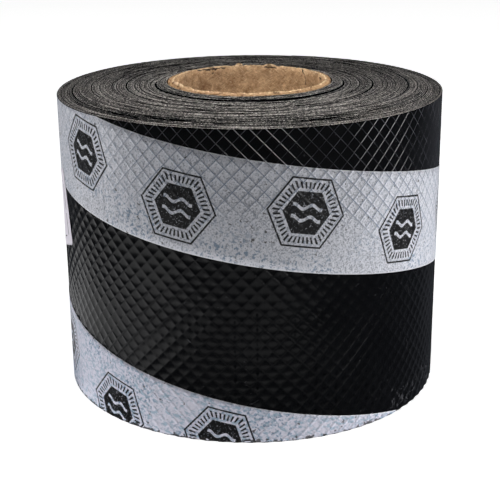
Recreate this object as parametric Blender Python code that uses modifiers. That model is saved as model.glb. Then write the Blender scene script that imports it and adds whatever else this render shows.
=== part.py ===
"""Roll of damp proof course: a black plastic strip wound on a cardboard core, with a printed tape and a label.

Metres, +Z up. The roll stands on its end, with the origin at the middle of its underside.
An azimuth is measured round the roll from the front, -Y, towards +X. A turn is 360 degrees of it.
"""

import math

import bmesh
import bpy

# The strip and its winding
STRIP_WIDTH = 0.150
TURN_THICKNESS = 0.0008
TURN_COUNT = 69
TELESCOPE = 0.0018
TELESCOPE_START_TURNS = 6
TELESCOPE_RAMP_TURNS = 12
SLACK_TURNS = (7, 17, 24, 33, 45, 54, 63)
SLACK_WIDTH = 0.0010
SLACK_DEPTH = 0.0015

# The cardboard core
CORE_BORE = 0.076
CORE_WALL = 0.003
CORE_LENGTH = 0.150
CORE_RISE = 0.0033
CORE_CHAMFER = 0.0005

# The printed tape, wound downwards and trimmed at both ends of the roll
TAPE_WIDTH = 0.048
TAPE_THICKNESS = 0.0003
TAPE_TOP_AT_FRONT = 0.1365
TAPE_DROP_PER_TURN = 0.105
TAPE_DROP_GROWTH = 0.013
TAPE_TRIM = 0.0005

# The paper label on the left of the roll
LABEL_WIDTH = 0.0635
LABEL_HEIGHT = 0.0381
LABEL_CORNER = 0.0025
LABEL_THICKNESS = 0.0003
LABEL_AZIMUTH = math.radians(-86.508)
LABEL_MIDDLE_HEIGHT = 0.0894
LABEL_LEAN = math.radians(15.8)
LABEL_COLUMNS = 12
CORNER_COLUMNS = 3

# Fits and fineness
CLEARANCE = 0.0003
SEGMENTS = 60
MERGE_DISTANCE = 0.00001
SHARP_ANGLE = math.radians(30)
LEAST_FACET_SHARE = 0.1

CORE_RADIUS = CORE_BORE / 2 + CORE_WALL
ROLL_BORE_RADIUS = CORE_RADIUS + CLEARANCE
ROLL_RADIUS = ROLL_BORE_RADIUS + TURN_COUNT * TURN_THICKNESS
TAPE_RADIUS = ROLL_RADIUS + CLEARANCE
LABEL_RADIUS = TAPE_RADIUS + TAPE_THICKNESS + CLEARANCE


def clear_scene():
    for old in list(bpy.data.objects):
        bpy.data.objects.remove(old, do_unlink=True)


def make_collection(name):
    collection = bpy.data.collections.new(name)
    bpy.context.scene.collection.children.link(collection)
    return collection


def make_material(name, colour, roughness):
    material = bpy.data.materials.new(name)
    material.use_nodes = True
    shader = material.node_tree.nodes["Principled BSDF"]
    shader.inputs["Base Color"].default_value = (*colour, 1.0)
    shader.inputs["Roughness"].default_value = roughness
    return material


def make_object(collection, name, shape, material):
    """A smooth-shaded object from a bmesh, which this frees."""
    mesh = bpy.data.meshes.new(name)
    shape.to_mesh(mesh)
    shape.free()
    mesh.materials.append(material)
    mesh.shade_smooth()
    if mesh.polygons:
        mesh.set_sharp_from_angle(angle=SHARP_ANGLE)
    piece = bpy.data.objects.new(name, mesh)
    collection.objects.link(piece)
    return piece


def turn_profile(collection, name, profile, material):
    """A closed profile of (radius, height) points, run down its outer side, turned round the roll's axis."""
    shape = bmesh.new()
    corners = [shape.verts.new((radius, 0, height)) for radius, height in profile]
    for corner, following in zip(corners, corners[1:] + corners[:1]):
        shape.edges.new((corner, following))
    piece = make_object(collection, name, shape, material)
    screw = piece.modifiers.new("Turned", "SCREW")
    screw.steps = SEGMENTS
    screw.render_steps = SEGMENTS
    screw.use_smooth_shade = True
    screw.use_merge_vertices = True
    screw.merge_threshold = MERGE_DISTANCE
    return piece


def turn_radius(turn):
    return ROLL_BORE_RADIUS + turn * TURN_THICKNESS


def turn_rise(turn):
    """How far a turn has slid up the roll: nothing outside, and the whole TELESCOPE at the core."""
    share = (TURN_COUNT - TELESCOPE_START_TURNS - turn) / TELESCOPE_RAMP_TURNS
    share = min(max(share, 0), 1)
    return TELESCOPE * share * share * (3 - 2 * share)


def end_steps():
    """(radius, rise, depth) across an end face from the bore out: flat lands with a V gap at each slack turn."""
    slack = [turn for turn in SLACK_TURNS if turn < TURN_COUNT]
    inner_turns = [0] + slack
    outer_turns = slack + [TURN_COUNT]
    steps = []
    for inner, outer in zip(inner_turns, outer_turns):
        rise = turn_rise((inner + outer) / 2)
        if inner > 0:
            steps.append((turn_radius(inner) + SLACK_WIDTH / 2, rise, 0))
        else:
            steps.append((ROLL_BORE_RADIUS, rise, 0))
        if outer < TURN_COUNT:
            steps.append((turn_radius(outer) - SLACK_WIDTH / 2, rise, 0))
            steps.append((turn_radius(outer), rise, SLACK_DEPTH))
        else:
            steps.append((ROLL_RADIUS, rise, 0))
    return steps


def build_roll(collection):
    material = make_material("black_polyethylene", (0.012, 0.012, 0.013), 0.45)
    steps = end_steps()
    top = [(radius, STRIP_WIDTH + rise - depth) for radius, rise, depth in steps]
    underside = [(radius, rise + depth) for radius, rise, depth in reversed(steps)]
    return turn_profile(collection, "dpc_roll", top + underside, material)


def build_core(collection):
    material = make_material("brown_cardboard", (0.36, 0.22, 0.12), 0.85)
    inside = CORE_BORE / 2
    bottom = CORE_RISE
    top = CORE_RISE + CORE_LENGTH
    profile = [
        (inside, top),
        (CORE_RADIUS - CORE_CHAMFER, top),
        (CORE_RADIUS, top - CORE_CHAMFER),
        (CORE_RADIUS, bottom + CORE_CHAMFER),
        (CORE_RADIUS - CORE_CHAMFER, bottom),
        (inside, bottom),
    ]
    return turn_profile(collection, "cardboard_core", profile, material)


def on_facets(turn, radius, height):
    """A point on the flats of the faceted roll at this turn, where radius is that of their corners."""
    facet = math.floor(turn * SEGMENTS) + 0.5
    off_middle = 2 * math.pi * (turn - facet / SEGMENTS)
    distance = radius * math.cos(math.pi / SEGMENTS) / math.cos(off_middle)
    azimuth = 2 * math.pi * turn
    return (distance * math.sin(azimuth), -distance * math.cos(azimuth), height)


def tape_top(turn):
    return TAPE_TOP_AT_FRONT - TAPE_DROP_PER_TURN * turn - TAPE_DROP_GROWTH * turn * turn


def tape_turn(height):
    """The turn at which the tape's upper edge comes down to this height."""
    fall = TAPE_TOP_AT_FRONT - height
    root = math.sqrt(TAPE_DROP_PER_TURN ** 2 + 4 * TAPE_DROP_GROWTH * fall)
    return 2 * fall / (TAPE_DROP_PER_TURN + root)


def build_tape(collection):
    material = make_material("printed_film", (0.62, 0.63, 0.67), 0.35)
    lead_slope = TAPE_DROP_PER_TURN / (2 * math.pi * TAPE_RADIUS)
    upright_width = TAPE_WIDTH * math.hypot(1, lead_slope)
    highest = STRIP_WIDTH - TAPE_TRIM
    lowest = TAPE_TRIM
    first = tape_turn(highest + upright_width)
    last = tape_turn(lowest)
    trims = [first, tape_turn(highest), tape_turn(lowest + upright_width), last]
    facets = range(math.ceil(first * SEGMENTS), math.ceil(last * SEGMENTS))
    apart = LEAST_FACET_SHARE / SEGMENTS
    corners = [facet / SEGMENTS for facet in facets]
    corners = [turn for turn in corners if min(abs(turn - trim) for trim in trims) > apart]
    turns = sorted(trims + corners)

    shape = bmesh.new()
    bmesh.ops.create_grid(shape, x_segments=len(turns) - 1, y_segments=1, size=1)
    for vertex in shape.verts:
        column = round((vertex.co.x + 1) / 2 * (len(turns) - 1))
        turn = turns[column]
        height = tape_top(turn)
        if vertex.co.y < 0:
            height -= upright_width
        vertex.co = on_facets(turn, TAPE_RADIUS, min(max(height, lowest), highest))
    bmesh.ops.remove_doubles(shape, verts=shape.verts, dist=MERGE_DISTANCE)
    piece = make_object(collection, "printed_tape", shape, material)
    thicken(piece, TAPE_THICKNESS)
    return piece


def thicken(piece, thickness):
    """Gives an open sheet its thickness outwards."""
    solidify = piece.modifiers.new("Thickness", "SOLIDIFY")
    solidify.thickness = thickness
    solidify.offset = 1


def label_columns():
    """(distance from the label's middle, half its height there) from its left end to its right."""
    straight = LABEL_WIDTH / 2 - LABEL_CORNER
    columns = []
    for step in range(CORNER_COLUMNS + 1):
        angle = math.pi / 2 * step / CORNER_COLUMNS
        across = straight + LABEL_CORNER * math.cos(angle)
        half_height = LABEL_HEIGHT / 2 - LABEL_CORNER * (1 - math.sin(angle))
        columns.append((across, half_height))
    for step in range(1, LABEL_COLUMNS):
        columns.append((straight * (1 - 2 * step / LABEL_COLUMNS), LABEL_HEIGHT / 2))
    left_corner = [(-across, half_height) for across, half_height in columns[: CORNER_COLUMNS + 1]]
    return left_corner + list(reversed(columns))


def build_label(collection):
    material = make_material("label_paper", (0.80, 0.78, 0.84), 0.6)
    columns = label_columns()
    shape = bmesh.new()
    bmesh.ops.create_grid(shape, x_segments=len(columns) - 1, y_segments=1, size=1)
    for vertex in shape.verts:
        column = round((vertex.co.x + 1) / 2 * (len(columns) - 1))
        across, half_height = columns[column]
        up = half_height * vertex.co.y
        along = across * math.cos(LABEL_LEAN) - up * math.sin(LABEL_LEAN)
        height = LABEL_MIDDLE_HEIGHT + across * math.sin(LABEL_LEAN) + up * math.cos(LABEL_LEAN)
        azimuth = LABEL_AZIMUTH + along / LABEL_RADIUS
        vertex.co = (LABEL_RADIUS * math.sin(azimuth), -LABEL_RADIUS * math.cos(azimuth), height)
    piece = make_object(collection, "paper_label", shape, material)
    thicken(piece, LABEL_THICKNESS)
    return piece


def main():
    clear_scene()
    collection = make_collection("damp_proof_course_roll")
    build_roll(collection)
    build_core(collection)
    build_tape(collection)
    build_label(collection)


main()
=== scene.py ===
import math

import bmesh
import bpy
import numpy as np
from bpy.props import FloatProperty, FloatVectorProperty, IntProperty, PointerProperty
from mathutils import Matrix, Vector, noise


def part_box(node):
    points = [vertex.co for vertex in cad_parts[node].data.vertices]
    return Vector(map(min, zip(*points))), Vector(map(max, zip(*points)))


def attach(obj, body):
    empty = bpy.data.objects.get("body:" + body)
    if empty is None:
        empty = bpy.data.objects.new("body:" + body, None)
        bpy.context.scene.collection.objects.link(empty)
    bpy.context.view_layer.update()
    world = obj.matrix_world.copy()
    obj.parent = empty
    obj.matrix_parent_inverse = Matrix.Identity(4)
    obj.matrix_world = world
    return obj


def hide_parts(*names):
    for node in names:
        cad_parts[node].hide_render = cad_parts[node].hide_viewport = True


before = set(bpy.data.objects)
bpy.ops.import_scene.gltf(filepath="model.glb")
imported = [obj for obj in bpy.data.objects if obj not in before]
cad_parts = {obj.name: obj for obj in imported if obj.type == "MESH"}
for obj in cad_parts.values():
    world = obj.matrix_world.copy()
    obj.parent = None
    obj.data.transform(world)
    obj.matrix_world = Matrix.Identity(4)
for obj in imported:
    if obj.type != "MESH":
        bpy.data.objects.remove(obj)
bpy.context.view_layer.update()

# Looks of a roll of damp proof course: wound embossed strip, cardboard core, printed tape and label.
# Everything is in metres. An azimuth goes round the roll from the front, -Y, towards +X.

bl_info = {
    "name": "Damp Proof Course Roll",
    "version": (1, 0, 0),
    "blender": (4, 5, 0),
    "location": "View3D > Sidebar > Strip Roll",
    "description": "Dresses a roll of embossed damp proof strip, with its core, tape and label",
    "category": "Object",
}

BODY = "root"
MM = 0.001
ROLL_LOW, ROLL_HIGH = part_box("dpc_roll")
CORE_LOW, CORE_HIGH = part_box("cardboard_core")
ROLL_RADIUS = (ROLL_HIGH.x - ROLL_LOW.x) / 2
CORE_RADIUS = (CORE_HIGH.x - CORE_LOW.x) / 2

# The winding. The tail is the free end of the strip, on the hidden side
STRIP_WIDTH = 150 * MM
TELESCOPE = ROLL_HIGH.z - STRIP_WIDTH
TAIL_AZIMUTH = math.radians(165)
TURN_STEP = 0.8 * MM
TAIL_RADIUS = ROLL_RADIUS + 0.15 * MM
INNER_RADIUS = CORE_RADIUS + 0.1 * MM
# Rings where the winding is slack, as seen on the end face: radius and width of the gap
SLACK_RINGS = ((46.5 * MM, 0.85 * MM), (54.5 * MM, 0.25 * MM), (60.2 * MM, 0.6 * MM), (67.0 * MM, 0.3 * MM),
               (77.0 * MM, 0.4 * MM), (86.0 * MM, 0.3 * MM), (92.0 * MM, 0.12 * MM))
# The turns inside the first slack ring were pushed up with the core: how far at the core and at the ring
INNER_PUSH = 1.4 * MM
INNER_PUSH_END = 0.6 * MM
# The rings of one embossed cell from its ridge to its floor, as shares of its half width
CELL_RINGS = (0.965, 0.885, 0.66, 0.43, 0.2)
SHARP_TOP = 0.965
SHARP_FOOT = 0.885
# Half the height in which sharp ridges give way to soft ones, under the tape
SOFT_BLEND = 10 * MM
# Where the outer turn is slack: how fast that changes round it and up it, and how much deeper its pits are
SLACK_ROUND = 4.1
SLACK_UP = 45
SLACK_DEEPENS = 0.25

# The tape's helix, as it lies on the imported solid: height of its upper edge over the turns from the front
TAPE_WIDTH = 48 * MM
TAPE_TOP_AT_FRONT = 136.5 * MM
TAPE_DROP_PER_TURN = 105 * MM
TAPE_DROP_GROWTH = 13 * MM
TAPE_TRIM = 0.3 * MM
MERGE_DISTANCE = 0.005 * MM
FILM_LIFT = 0.05 * MM
# The share of a turn in which the film comes down from the step at the tail edge
BRIDGE_SHARE = 0.02

# The label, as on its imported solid
LABEL_WIDTH = 63.5 * MM
LABEL_HEIGHT = 38.1 * MM
LABEL_CORNER = 2.5 * MM
LABEL_AZIMUTH = math.radians(-86.5)
LABEL_MIDDLE = 89.4 * MM
LABEL_LEAN = math.radians(15.8)
LABEL_STEP = 0.2 * MM

# Straight rules on the label: start and end along and up from its middle, and half width, all in mm
LABEL_RULES = [((25.6, -13.5), (25.6, -3.5), 0.45), ((25.6, -1.0), (25.6, 11.0), 0.45),
               ((-27, 13.0), (20, 13.0), 0.3), ((-27, -14.5), (20, -14.5), 0.3)]
# A row of upright bars on the label, in three widths
LABEL_RULES += [((-24 + 1.7 * bar, -10), (-24 + 1.7 * bar, 4), 0.25 + 0.25 * (bar * 5 % 3))
                for bar in range(20)]

# The tape's print, in mm: badges along the tape, in turn a little nearer to one edge and to the other
BADGE_PITCH = 58
BADGE_STAGGER = 3.5
BADGE_REACH = 15.6
BADGE_LINE = 0.42
DASHES_ROUND = 42
DASH_SHARE = 0.45
DASH_MIDDLE = 12.5
DASH_HALF_LENGTH = 1.5
# The badge's black core, and the waves that its window leaves white
BADGE_CORE = 9.7
WAVE_TURN = 0.75
WAVE_SWING = 1.0
WAVE_APART = 5.4
WAVE_LINE = 0.15
WINDOW_HALF_WIDTH = 7.0
WINDOW_HALF_HEIGHT = 6.9

# The core's lip, torn where it was sawn, stands above the winding and falls a little outwards
LIP_CREST = 154.0 * MM
LIP_EDGE = 153.5 * MM
# Flakes: azimuth from and to in degrees, radius, rise, and how far a flake leans outwards for its rise
LIP_FLAKES = (
    (-74, -54, 38.9 * MM, 1.3 * MM, -0.5), (-58, -44, 38.5 * MM, 0.8 * MM, 0.3),
    (-30, -12, 38.6 * MM, 0.3 * MM, 0.2), (4, 26, 38.7 * MM, 0.35 * MM, -0.2),
    (40, 62, 38.8 * MM, 0.4 * MM, 0.3), (-164, -136, 38.3 * MM, 0.35 * MM, -0.9),
    (-175, -169, 38.6 * MM, 1.3 * MM, 0.5), (158, 168, 38.4 * MM, 1.0 * MM, -0.8))
FLAKE_DEPTH = 0.7 * MM
FLAKE_FOOT = 0.2 * MM
FLAKE_TIP = 0.07 * MM
# Cracks on the bore's wall, and painted shadows under the torn lip, its ply and its flakes, in degrees and
# mm:
# azimuth and height of the start and of the end, and half the width. The first three run down one crack, the
# rest are painted shadows
CRACKS_AND_PAINTED_SHADOWS = (
    (133.1, 153.8, 130.9, 151.4, 0.28), (130.9, 151.4, 129.1, 149.4, 0.25),
    (129.1, 149.4, 129.0, 145.8, 0.16), (-160, 153.2, -135, 153.4, 0.35),
    (-152, 152.9, -142, 153.2, 0.4), (158, 152.9, 167, 153.2, 0.4),
    (105, 151.6, 107.5, 151.9, 0.5), (-150, 150.9, -149, 150.8, 0.3))
BORE_RADIUS_MM = 38

# The materials that more than one piece wears
SHEET_MATERIAL = "Calendered black LDPE sheet"
EDGE_MATERIAL = "Saw-cut LDPE sheet edge"

# The studio's soft boxes: azimuth and elevation in degrees, distance, width, height and brightness
ROLL_MIDDLE = Vector((0, 0, ROLL_HIGH.z / 2))
SOFT_BOXES = (("left_box", -105, 0, 1.3, 0.9, 0.7, 1.35), ("right_box", 95, 0, 1.3, 0.6, 0.6, 1.5))
# Small lamps from above, one on the front of the winding and one into the bore: place, aim, size,
# beam in degrees and watts
LAMPS = (("top_lamp", (0, -0.05, 0.33), (0, -0.085, 0.15), 0.12, 90, 0.15),
         ("bore_lamp", (-0.05, -0.16, 0.37), (0.008, 0.036, 0.132), 0.03, 24, 0.0085))
# Bright boxes that only glint on the ridges: the same as the soft boxes, with a glow as the last value
GLINT_BOXES = (("front_glint", 46, 19, 1.3, 0.8, 0.3, 9.5), ("right_glint", 112, 19, 1.3, 0.7, 0.3, 2.2))
ROOM_LIGHT = 0.15
MIRRORED_ROOM = 0.035
MIRRORED_BACK = 0.08
FLOOR_LIGHT = Vector((0, 0, 0.5 * MM))
BOUNCE_PLACE = FLOOR_LIGHT + Vector((0.05, -0.15, 0))
BOUNCE_SIZE = 0.36
BOUNCE_GLOW = 1.2
# Cards at the floor that only the black sheet mirrors: place from the middle, size and glow
CARDS = (("left_card", -0.23, -0.1, 0.24, 0.42, 0.55), ("front_card", -0.03, -0.27, 0.28, 0.2, 0.24))

# The photograph's camera
CAMERA_PLACE = Vector((0, -0.5840, 0.2619))
CAMERA_PAN = math.radians(-0.044)
CAMERA_DOWN = math.radians(18.84)
CAMERA_ROLL = math.radians(-0.544)
CAMERA_LENS = 83.98


def linear(hex_colour):
    """An sRGB hex colour as linear red, green, blue and alpha."""
    parts = [int(hex_colour[i:i + 2], 16) / 255 for i in (1, 3, 5)]
    return tuple(c / 12.92 if c <= 0.04045 else ((c + 0.055) / 1.055) ** 2.4 for c in parts) + (1.0,)


def put(tree, kind, inputs=None, **settings):
    """Adds a node, sets its options, and links or fills its inputs. A node means its first output."""
    node = tree.nodes.new(kind)
    for name, value in settings.items():
        setattr(node, name, value)
    for key, value in (inputs or {}).items():
        for source in value if isinstance(value, list) else [value]:
            if isinstance(source, bpy.types.Node):
                source = next(socket for socket in source.outputs if socket.enabled)
            if isinstance(source, bpy.types.NodeSocket):
                tree.links.new(source, node.inputs[key])
            else:
                node.inputs[key].default_value = source
    return node


def new_material(name):
    """A material with an empty tree, and that tree."""
    material = bpy.data.materials.new(name)
    material.use_nodes = True
    material.node_tree.nodes.clear()
    return material, material.node_tree


def finish_material(tree, shader):
    """Makes this shader the one that the material shows."""
    put(tree, "ShaderNodeOutputMaterial", {"Surface": shader})


def shape_tree(name, inputs):
    """A geometry tree with these inputs, each a name and a kind of value, and its input node."""
    tree = bpy.data.node_groups.new(name, "GeometryNodeTree")
    for label, kind in inputs:
        tree.interface.new_socket(name=label, in_out="INPUT", socket_type="NodeSocket" + kind)
    tree.interface.new_socket(name="Geometry", in_out="OUTPUT", socket_type="NodeSocketGeometry")
    return tree, put(tree, "NodeGroupInput")


def carry(mesh):
    """An object in the scene that holds this mesh while a modifier works on it."""
    carrier = bpy.data.objects.new(mesh.name, mesh)
    bpy.context.scene.collection.objects.link(carrier)
    return carrier


def plain_mesh(carrier):
    """The mesh that a carrier's modifiers make, under the same name. The carrier and its old mesh go."""
    bpy.context.view_layer.update()
    graph = bpy.context.evaluated_depsgraph_get()
    mesh = bpy.data.meshes.new_from_object(
        carrier.evaluated_get(graph), preserve_all_data_layers=True, depsgraph=graph)
    old = carrier.data
    name = old.name
    bpy.data.objects.remove(carrier, do_unlink=True)
    bpy.data.meshes.remove(old)
    mesh.name = name
    return mesh


def run_tree(name, tree, values):
    """The mesh that a geometry tree makes from these input values, as a plain mesh."""
    carrier = carry(bpy.data.meshes.new(name))
    modifier = carrier.modifiers.new("Shape", "NODES")
    modifier.node_group = tree
    for item in tree.interface.items_tree:
        if item.in_out == "INPUT":
            modifier[item.identifier] = values[item.name]
    return plain_mesh(carrier)


def thicken(mesh, thickness):
    """An open sheet's mesh with its thickness outwards, as a plain closed mesh."""
    carrier = carry(mesh)
    solid = carrier.modifiers.new("Thickness", "SOLIDIFY")
    solid.thickness = thickness
    solid.offset = 1
    return plain_mesh(carrier)


def add_piece(name, mesh, stands_for):
    """Puts a finished mesh in the scene as a piece of the object."""
    piece = bpy.data.objects.new(name, mesh)
    bpy.context.scene.collection.objects.link(piece)
    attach(piece, BODY)
    if stands_for:
        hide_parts(stands_for)
    return piece


def tail_share(azimuth):
    """How far round from the tail edge an azimuth is, from 0 to 1 turn."""
    return np.mod((azimuth - TAIL_AZIMUTH) / (2 * math.pi), 1.0)


def outer_radius(azimuth):
    """Radius of the outer turn's ridges: the strip gains one step of the winding in each turn."""
    return TAIL_RADIUS - TURN_STEP * (1 - tail_share(azimuth))


def film_radius(azimuth):
    """Radius of the film over the ridges. It bridges the step at the tail edge."""
    share = tail_share(azimuth)
    bridge = np.clip(1 - share / BRIDGE_SHARE, 0, 1)
    return outer_radius(azimuth) + TURN_STEP * bridge ** 2 + FILM_LIFT


def round_roll(azimuth, radius, height):
    """Points round the roll's axis as an array of x, y, z."""
    return np.stack([radius * np.sin(azimuth), -radius * np.cos(azimuth), height + 0 * azimuth], axis=-1)


def smooth_step(value, start, end):
    """0 before start, 1 after end, and an even curve between."""
    share = np.clip((value - start) / (end - start), 0, 1)
    return share * share * (3 - 2 * share)


def mesh_from_grid(name, points):
    """A mesh from a rows by columns by 3 array of points. Its faces look along rows cross columns."""
    rows, columns = points.shape[:2]
    mesh = bpy.data.meshes.new(name)
    index = np.arange(rows * columns).reshape(rows, columns)
    faces = np.stack([index[:-1, :-1], index[:-1, 1:], index[1:, 1:], index[1:, :-1]], axis=-1)
    mesh.from_pydata(points.reshape(-1, 3).tolist(), [], faces.reshape(-1, 4).tolist())
    mesh.update()
    return mesh


def write_uv(mesh, name, values):
    """Stores one pair of numbers for each vertex as a UV map."""
    layer = mesh.uv_layers.new(name=name)
    corners = np.empty(len(mesh.loops), np.int32)
    mesh.loops.foreach_get("vertex_index", corners)
    layer.uv.foreach_set("vector", np.asarray(values, np.float32)[corners].ravel())


def write_attribute(mesh, name, values):
    """Stores one number for each vertex, for a material to read under this name."""
    layer = mesh.attributes.new(name, "FLOAT", "POINT")
    layer.data.foreach_set("value", values.astype(np.float32))


def read_points(mesh):
    """The mesh's vertices as an array of x, y, z."""
    points = np.empty(len(mesh.vertices) * 3, np.float32)
    mesh.vertices.foreach_get("co", points)
    return points.reshape(-1, 3).astype(float)


def set_tones(ramp, tones):
    """Gives a colour ramp these stops, each a position and a linear colour."""
    stops = ramp.color_ramp.elements
    while len(stops) < len(tones):
        stops.new(1.0)
    for stop, (position, colour) in zip(stops, tones):
        stop.position = position
        stop.color = colour


def grain_scale(size):
    """The noise scale that makes patches this many millimetres apart."""
    return 1 / (size * MM)


# Materials


def round_place(tree):
    """Where a point lies round the roll: its azimuth in radians and its height in metres, as sockets."""
    place = put(tree, "ShaderNodeTexCoord")
    axes = put(tree, "ShaderNodeSeparateXYZ", {"Vector": place.outputs["Object"]})
    front = put(tree, "ShaderNodeMath", {0: axes.outputs["Y"], 1: -1.0}, operation="MULTIPLY")
    azimuth = put(tree, "ShaderNodeMath", {0: axes.outputs["X"], 1: front}, operation="ARCTAN2")
    return azimuth, axes.outputs["Z"]


def marks(tree, plane, lines):
    """A mask of straight marks on a plane: each line is its start, end and half width, in millimetres."""
    total = None
    for start, end, half_width in lines:
        run = Vector(end) - Vector(start)
        away = put(tree, "ShaderNodeVectorMath", {0: plane, 1: (*start, 0.0)}, operation="SUBTRACT")
        share = put(tree, "ShaderNodeVectorMath", {
            0: away, 1: (*(run / run.length_squared), 0.0)}, operation="DOT_PRODUCT")
        held = put(tree, "ShaderNodeClamp", {"Value": share})
        near = put(tree, "ShaderNodeVectorMath", {0: (*run, 0.0), "Scale": held}, operation="SCALE")
        off = put(tree, "ShaderNodeVectorMath", {0: away, 1: near}, operation="DISTANCE")
        mark = put(tree, "ShaderNodeMapRange", {
            "Value": off, "From Min": half_width * 1.5, "From Max": half_width * 0.5},
            interpolation_type="SMOOTHSTEP")
        if total is None:
            total = mark
        else:
            total = put(tree, "ShaderNodeMath", {0: total, 1: mark}, operation="MAXIMUM")
    return total


def polyethylene_film(settings):
    """Polyethylene sheet, calendered and embossed: near black, and glossier on the ridge crests, which carry
    a painted sheen of lighter grey in patches.
    """
    material, tree = new_material(SHEET_MATERIAL)
    place = put(tree, "ShaderNodeTexCoord")
    crest = put(tree, "ShaderNodeAttribute", attribute_name="Crest")
    dust = put(tree, "ShaderNodeTexNoise", {
        "Vector": place.outputs["Object"], "Scale": grain_scale(22.2), "Detail": 6.0})
    grain = put(tree, "ShaderNodeTexNoise", {
        "Vector": place.outputs["Object"], "Scale": grain_scale(0.714), "Detail": 2.0})
    flat_gloss = put(tree, "ShaderNodeMapRange", {
        "Value": dust, "From Min": 0.3, "From Max": 0.7, "To Min": 0.2, "To Max": 0.26})
    rubbed = put(tree, "ShaderNodeMapRange", {"Value": crest.outputs["Fac"], "To Min": 0.0, "To Max": 0.03})
    gloss = put(tree, "ShaderNodeMath", {0: flat_gloss, 1: rubbed}, operation="SUBTRACT")
    colour = put(tree, "ShaderNodeMix", {
        "Factor": dust, "A": linear("#030304"), "B": settings.sheet_colour}, data_type="RGBA")
    scuffs = put(tree, "ShaderNodeTexNoise", {
        "Vector": place.outputs["Object"], "Scale": grain_scale(7.69), "Detail": 2.0, "Distortion": 2.5})
    azimuth, height = round_place(tree)
    near_floor = put(tree, "ShaderNodeMapRange", {
        "Value": height, "From Min": 20 * MM, "From Max": 9 * MM}, interpolation_type="SMOOTHSTEP")
    on_right = put(tree, "ShaderNodeMath", {
        0: azimuth, 1: math.radians(58), 2: math.radians(13)}, operation="COMPARE")
    dragged = put(tree, "ShaderNodeMath", {0: near_floor, 1: on_right}, operation="MULTIPLY")
    scraping = put(tree, "ShaderNodeMath", {0: dragged, 1: 0.17, 2: scuffs}, operation="MULTIPLY_ADD")
    scuffed = put(tree, "ShaderNodeMapRange", {
        "Value": scraping, "From Min": 0.73, "From Max": 0.79, "To Max": 0.5})
    marked = put(tree, "ShaderNodeMix", {
        "Factor": scuffed, "A": colour, "B": linear("#4a4a4e")}, data_type="RGBA")
    # Painted sheen: the ridge crests above the tape are painted a lighter grey in patches, for the dim
    # glints along the ridges
    crest_sheen_noise = put(tree, "ShaderNodeTexNoise", {
        "Vector": place.outputs["Object"], "Scale": grain_scale(9.09), "Detail": 3.0})
    crest_sheen_share = put(tree, "ShaderNodeMapRange", {
        "Value": crest_sheen_noise, "From Min": 0.42, "From Max": 0.66, "To Min": 0.3})
    painted_crest_sheen = put(tree, "ShaderNodeMath", {0: crest.outputs["Fac"], 1: crest_sheen_share}, operation="MULTIPLY")
    worn = put(tree, "ShaderNodeMix", {
        "Factor": painted_crest_sheen, "A": marked, "B": linear("#434349")}, data_type="RGBA")
    bump = put(tree, "ShaderNodeBump", {"Height": grain, "Strength": 0.25, "Distance": 0.00004})
    shader = put(tree, "ShaderNodeBsdfPrincipled", {
        "Base Color": worn, "Roughness": gloss, "IOR": 1.51, "Normal": bump})
    finish_material(tree, shader)
    return material


def sawn_sheet_edge():
    """The cut edges of the wound sheet: the saw leaves polyethylene grey-brown and dull, with pale burrs."""
    material, tree = new_material(EDGE_MATERIAL)
    turn = put(tree, "ShaderNodeAttribute", attribute_name="Turn")
    arc = put(tree, "ShaderNodeAttribute", attribute_name="Arc")
    along = put(tree, "ShaderNodeMath", {0: arc.outputs["Fac"], 1: 1 / (1.3 * MM)}, operation="MULTIPLY")
    strip_place = put(tree, "ShaderNodeCombineXYZ", {"X": along, "Y": turn.outputs["Fac"]})
    stretched = put(tree, "ShaderNodeVectorMath", {
        0: strip_place, 1: (1.7, 2.3, 1.0)}, operation="MULTIPLY")
    streaks = put(tree, "ShaderNodeTexNoise", {
        "Vector": stretched, "Scale": 1.0, "Detail": 3.0, "Roughness": 0.7})
    place = put(tree, "ShaderNodeTexCoord")
    burrs = put(tree, "ShaderNodeTexNoise", {
        "Vector": place.outputs["Object"], "Scale": grain_scale(0.667), "Detail": 2.0, "Roughness": 0.6})
    each = put(tree, "ShaderNodeTexNoise", {
        "W": turn.outputs["Fac"], "Scale": 1.9, "Detail": 2.0}, noise_dimensions="1D")
    patches = put(tree, "ShaderNodeTexNoise", {
        "Vector": place.outputs["Object"], "Scale": grain_scale(18.2), "Detail": 2.0})
    total = 0.5
    for layer, weight in ((streaks, 0.75), (burrs, 2.2), (each, 0.65), (patches, 0.15)):
        centred = put(tree, "ShaderNodeMath", {0: layer, 1: 0.5}, operation="SUBTRACT")
        total = put(tree, "ShaderNodeMath", {0: centred, 1: weight, 2: total}, operation="MULTIPLY_ADD")
    ramp = put(tree, "ShaderNodeValToRGB", {"Fac": total})
    tones = ((0.36, "#0c0b0b"), (0.5, "#444140"), (0.64, "#98928d"), (0.78, "#ded8d0"))
    set_tones(ramp, [(position, linear(tone)) for position, tone in tones])
    shader = put(tree, "ShaderNodeBsdfPrincipled", {"Base Color": ramp, "Roughness": 0.6, "IOR": 1.51})
    finish_material(tree, shader)
    return material


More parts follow.
